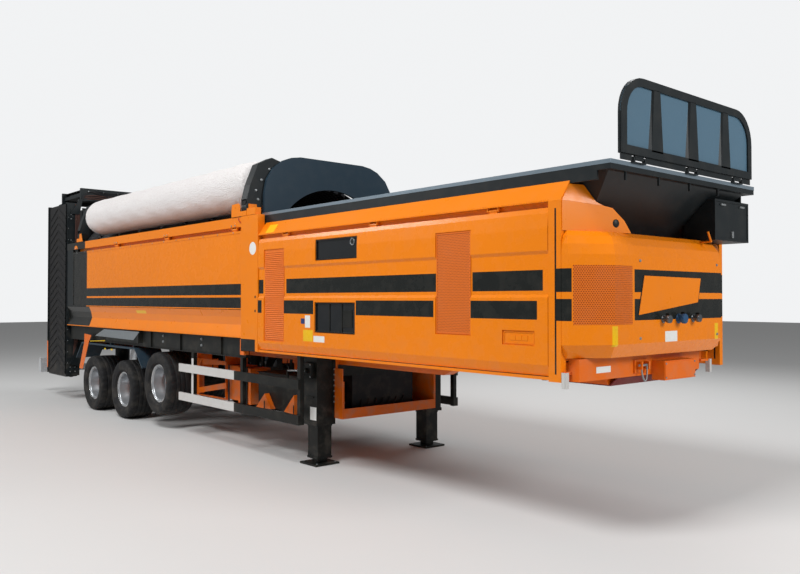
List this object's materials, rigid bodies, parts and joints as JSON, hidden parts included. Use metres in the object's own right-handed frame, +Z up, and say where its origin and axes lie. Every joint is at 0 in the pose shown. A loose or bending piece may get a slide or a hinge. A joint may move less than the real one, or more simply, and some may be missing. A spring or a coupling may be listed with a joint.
{
  "type": "trommel screen",
  "caption": "Trailer-mounted drum screening machine with a feed hopper, folded discharge conveyors, hinged side panels and a drum-cleaning brush.",
  "frame": {"origin": "on the ground under the centre of the bounding box", "axes": "+X towards the kingpin end, +Y to the left side, +Z up"},
  "size_m": [13.65, 2.55, 4.02],
  "materials": {
    "orange_paint": "satin paint",
    "dark_paint": "satin paint",
    "black_paint": "satin paint",
    "red_primer": "satin paint",
    "blue_grey_paint": "satin paint",
    "silver_paint": "gloss paint",
    "grey_steel": "satin",
    "aluminium_rail": "brushed",
    "belt_rubber": "matt",
    "tyre": "matt",
    "brush_fibre": "matt",
    "cast_block": "rough"
  },
  "bodies": {
    "chassis": {"air_couplings": "grey_steel", "axles": "black_paint", "chassis_frame": "orange_paint", "chassis_skirts": "black_paint", "collecting_belt": "belt_rubber", "conveyor_brackets": "orange_paint", "corner_box": "black_paint", "corner_fascia": "orange_paint", "drum_frame": "orange_paint", "drum_inlet_plate": "dark_paint", "drum_lower_bands": "orange_paint", "drum_rollers": "dark_paint", "engine_block": "cast_block", "fenders": "black_paint", "front_beam": "orange_paint", "front_hood": "orange_paint", "hopper_belt": "belt_rubber", "hopper_shell": "black_paint", "housing_frame": "orange_paint", "hydraulic_unit": "dark_paint", "kingpin_plate": "red_primer", "landing_legs": "black_paint", "leg_tray": "orange_paint", "rear_bumper": "silver_paint", "rear_portal": "orange_paint", "side_guards": "aluminium_rail", "suspension": "black_paint"},
    "wheel_rear_right": {"tyre_rear_right": "tyre", "rim_rear_right": "silver_paint"},
    "wheel_rear_left": {"tyre_rear_left": "tyre", "rim_rear_left": "silver_paint"},
    "wheel_middle_right": {"tyre_middle_right": "tyre", "rim_middle_right": "silver_paint"},
    "wheel_middle_left": {"tyre_middle_left": "tyre", "rim_middle_left": "silver_paint"},
    "wheel_front_right": {"tyre_front_right": "tyre", "rim_front_right": "silver_paint"},
    "wheel_front_left": {"tyre_front_left": "tyre", "rim_front_left": "silver_paint"},
    "trommel_drum": {"drum": "grey_steel"},
    "brush_carrier": {"brush_arms": "dark_paint"},
    "brush": {"brush_roll": "brush_fibre"},
    "wall_right": {"drum_wall_right": "orange_paint"},
    "wall_left": {"drum_wall_left": "orange_paint"},
    "door_right": {"housing_door_right": "orange_paint"},
    "door_left": {"housing_door_left": "orange_paint"},
    "flap": {"hopper_flap": "blue_grey_paint"},
    "side_conveyor": {"side_conveyor_lower": "dark_paint"},
    "side_conveyor_tip": {"side_conveyor_upper": "dark_paint"},
    "rear_conveyor": {"rear_conveyor_lower": "dark_paint"},
    "rear_conveyor_tip": {"rear_conveyor_upper": "dark_paint"}
  },
  "joints": [
    {"name": "wheel_rear_right_spin", "type": "hinge", "parent": "chassis", "child": "wheel_rear_right", "pos_m": [-3.62, -1.056, 0.465], "axis": [0, 1, 0], "continuous": true},
    {"name": "wheel_rear_left_spin", "type": "hinge", "parent": "chassis", "child": "wheel_rear_left", "pos_m": [-3.62, 1.056, 0.465], "axis": [0, 1, 0], "continuous": true},
    {"name": "wheel_middle_right_spin", "type": "hinge", "parent": "chassis", "child": "wheel_middle_right", "pos_m": [-2.3, -1.056, 0.465], "axis": [0, 1, 0], "continuous": true},
    {"name": "wheel_middle_left_spin", "type": "hinge", "parent": "chassis", "child": "wheel_middle_left", "pos_m": [-2.3, 1.056, 0.465], "axis": [0, 1, 0], "continuous": true},
    {"name": "wheel_front_right_spin", "type": "hinge", "parent": "chassis", "child": "wheel_front_right", "pos_m": [-0.98, -1.056, 0.665], "axis": [0, 1, 0], "continuous": true},
    {"name": "wheel_front_left_spin", "type": "hinge", "parent": "chassis", "child": "wheel_front_left", "pos_m": [-0.98, 1.056, 0.665], "axis": [0, 1, 0], "continuous": true},
    {"name": "drum_spin", "type": "hinge", "parent": "chassis", "child": "trommel_drum", "pos_m": [-2.1, 0, 2.43], "axis": [1, 0, 0], "continuous": true},
    {"name": "brush_swing", "type": "hinge", "parent": "chassis", "child": "brush_carrier", "pos_m": [-1.4, -1.18, 3.05], "axis": [1, 0, 0], "range_deg": [0, 45]},
    {"name": "brush_spin", "type": "hinge", "parent": "brush_carrier", "child": "brush", "pos_m": [-1.4, -0.9, 3.38602], "axis": [1, 0, 0], "continuous": true},
    {"name": "wall_right_hinge", "type": "hinge", "parent": "chassis", "child": "wall_right", "pos_m": [-1.6, -1.24, 2.79], "axis": [-1, 0, 0], "range_deg": [0, 85]},
    {"name": "wall_left_hinge", "type": "hinge", "parent": "chassis", "child": "wall_left", "pos_m": [-1.6, 1.24, 2.79], "axis": [1, 0, 0], "range_deg": [0, 85]},
    {"name": "door_right_hinge", "type": "hinge", "parent": "chassis", "child": "door_right", "pos_m": [4.1, -1.245, 2.655], "axis": [-1, 0, 0], "range_deg": [0, 80]},
    {"name": "door_left_hinge", "type": "hinge", "parent": "chassis", "child": "door_left", "pos_m": [4.1, 1.245, 2.655], "axis": [1, 0, 0], "range_deg": [0, 80]},
    {"name": "flap_hinge", "type": "hinge", "parent": "chassis", "child": "flap", "pos_m": [6.805, 0, 2.995], "axis": [0, -1, 0], "range_deg": [0, 90]},
    {"name": "side_conveyor_lift", "type": "hinge", "parent": "chassis", "child": "side_conveyor", "pos_m": [-5.55, -0.95, 1.23], "axis": [1, 0, 0], "range_deg": [0, 70]},
    {"name": "side_conveyor_fold", "type": "hinge", "parent": "side_conveyor", "child": "side_conveyor_tip", "pos_m": [-5.55, -1.012, 3.77], "axis": [1, 0, 0], "range_deg": [0, 90]},
    {"name": "rear_conveyor_lift", "type": "hinge", "parent": "chassis", "child": "rear_conveyor", "pos_m": [-6.225, 0, 0.9], "axis": [0, -1, 0], "range_deg": [0, 70]},
    {"name": "rear_conveyor_fold", "type": "hinge", "parent": "rear_conveyor", "child": "rear_conveyor_tip", "pos_m": [-6.405, 0, 3.784], "axis": [0, 1, 0], "range_deg": [0, 180]}
  ]
}
